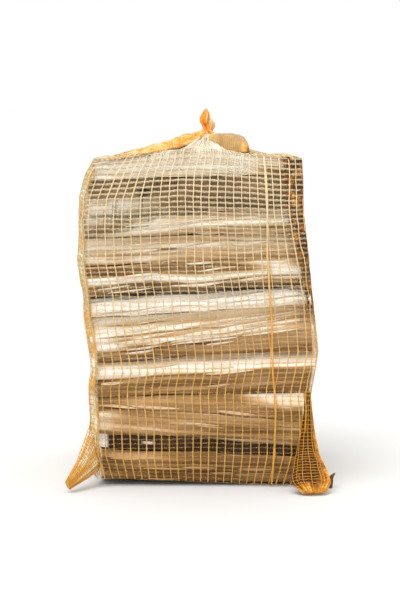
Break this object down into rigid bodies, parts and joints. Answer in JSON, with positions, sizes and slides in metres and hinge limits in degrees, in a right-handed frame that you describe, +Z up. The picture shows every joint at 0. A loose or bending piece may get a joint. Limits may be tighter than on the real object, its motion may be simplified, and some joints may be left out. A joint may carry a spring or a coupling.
{
  "type": "birch firewood bundle",
  "caption": "Split birch firewood logs stacked crosswise in an upright knitted net sack, tied in a knot at the top, with two bottom corners that stick out.",
  "frame": {"origin": "on the floor under the middle of the bundle's box", "axes": "+X along the logs to the right as seen from the front, +Y from the front to the rear, +Z up to the knot"},
  "size_m": [0.3658, 0.3014, 0.52],
  "materials": {
    "split_birch": "raw split birch, pale faces with tan grain, white and brown bark",
    "net_yellow_orange": "thin knitted plastic tape, slightly see-through",
    "net_deep_orange": "thin knitted plastic tape, gathered and knotted",
    "birch_bark": "dry curled bark, matt"
  },
  "bodies": {
    "root": {"log_front_01": "split_birch", "log_front_02": "split_birch", "log_front_03": "split_birch", "log_front_04": "split_birch", "log_front_05": "split_birch", "log_front_06": "split_birch", "log_front_07": "split_birch", "log_front_08": "split_birch", "log_front_09": "split_birch", "log_front_10": "split_birch", "log_front_11": "split_birch", "log_middle_01": "split_birch", "log_middle_02": "split_birch", "log_middle_03": "split_birch", "log_middle_04": "split_birch", "log_middle_05": "split_birch", "log_middle_06": "split_birch", "log_middle_07": "split_birch", "log_inner_01": "split_birch", "log_inner_02": "split_birch", "log_inner_03": "split_birch", "log_inner_04": "split_birch", "log_inner_05": "split_birch", "log_inner_06": "split_birch", "log_inner_07": "split_birch", "log_inner_08": "split_birch", "log_rear_01": "split_birch", "log_rear_02": "split_birch", "log_rear_03": "split_birch", "log_rear_04": "split_birch", "log_rear_05": "split_birch", "log_rear_06": "split_birch", "log_rear_07": "split_birch", "log_rear_08": "split_birch", "net_front": "net_yellow_orange", "net_rear": "net_yellow_orange", "net_side_left": "net_yellow_orange", "net_side_right": "net_yellow_orange", "net_floor": "net_yellow_orange", "net_tent": "net_yellow_orange", "net_ear_left": "net_yellow_orange", "net_ear_right": "net_yellow_orange", "neck_knot": "net_deep_orange", "bark_flake": "birch_bark"}
  },
  "joints": []
}
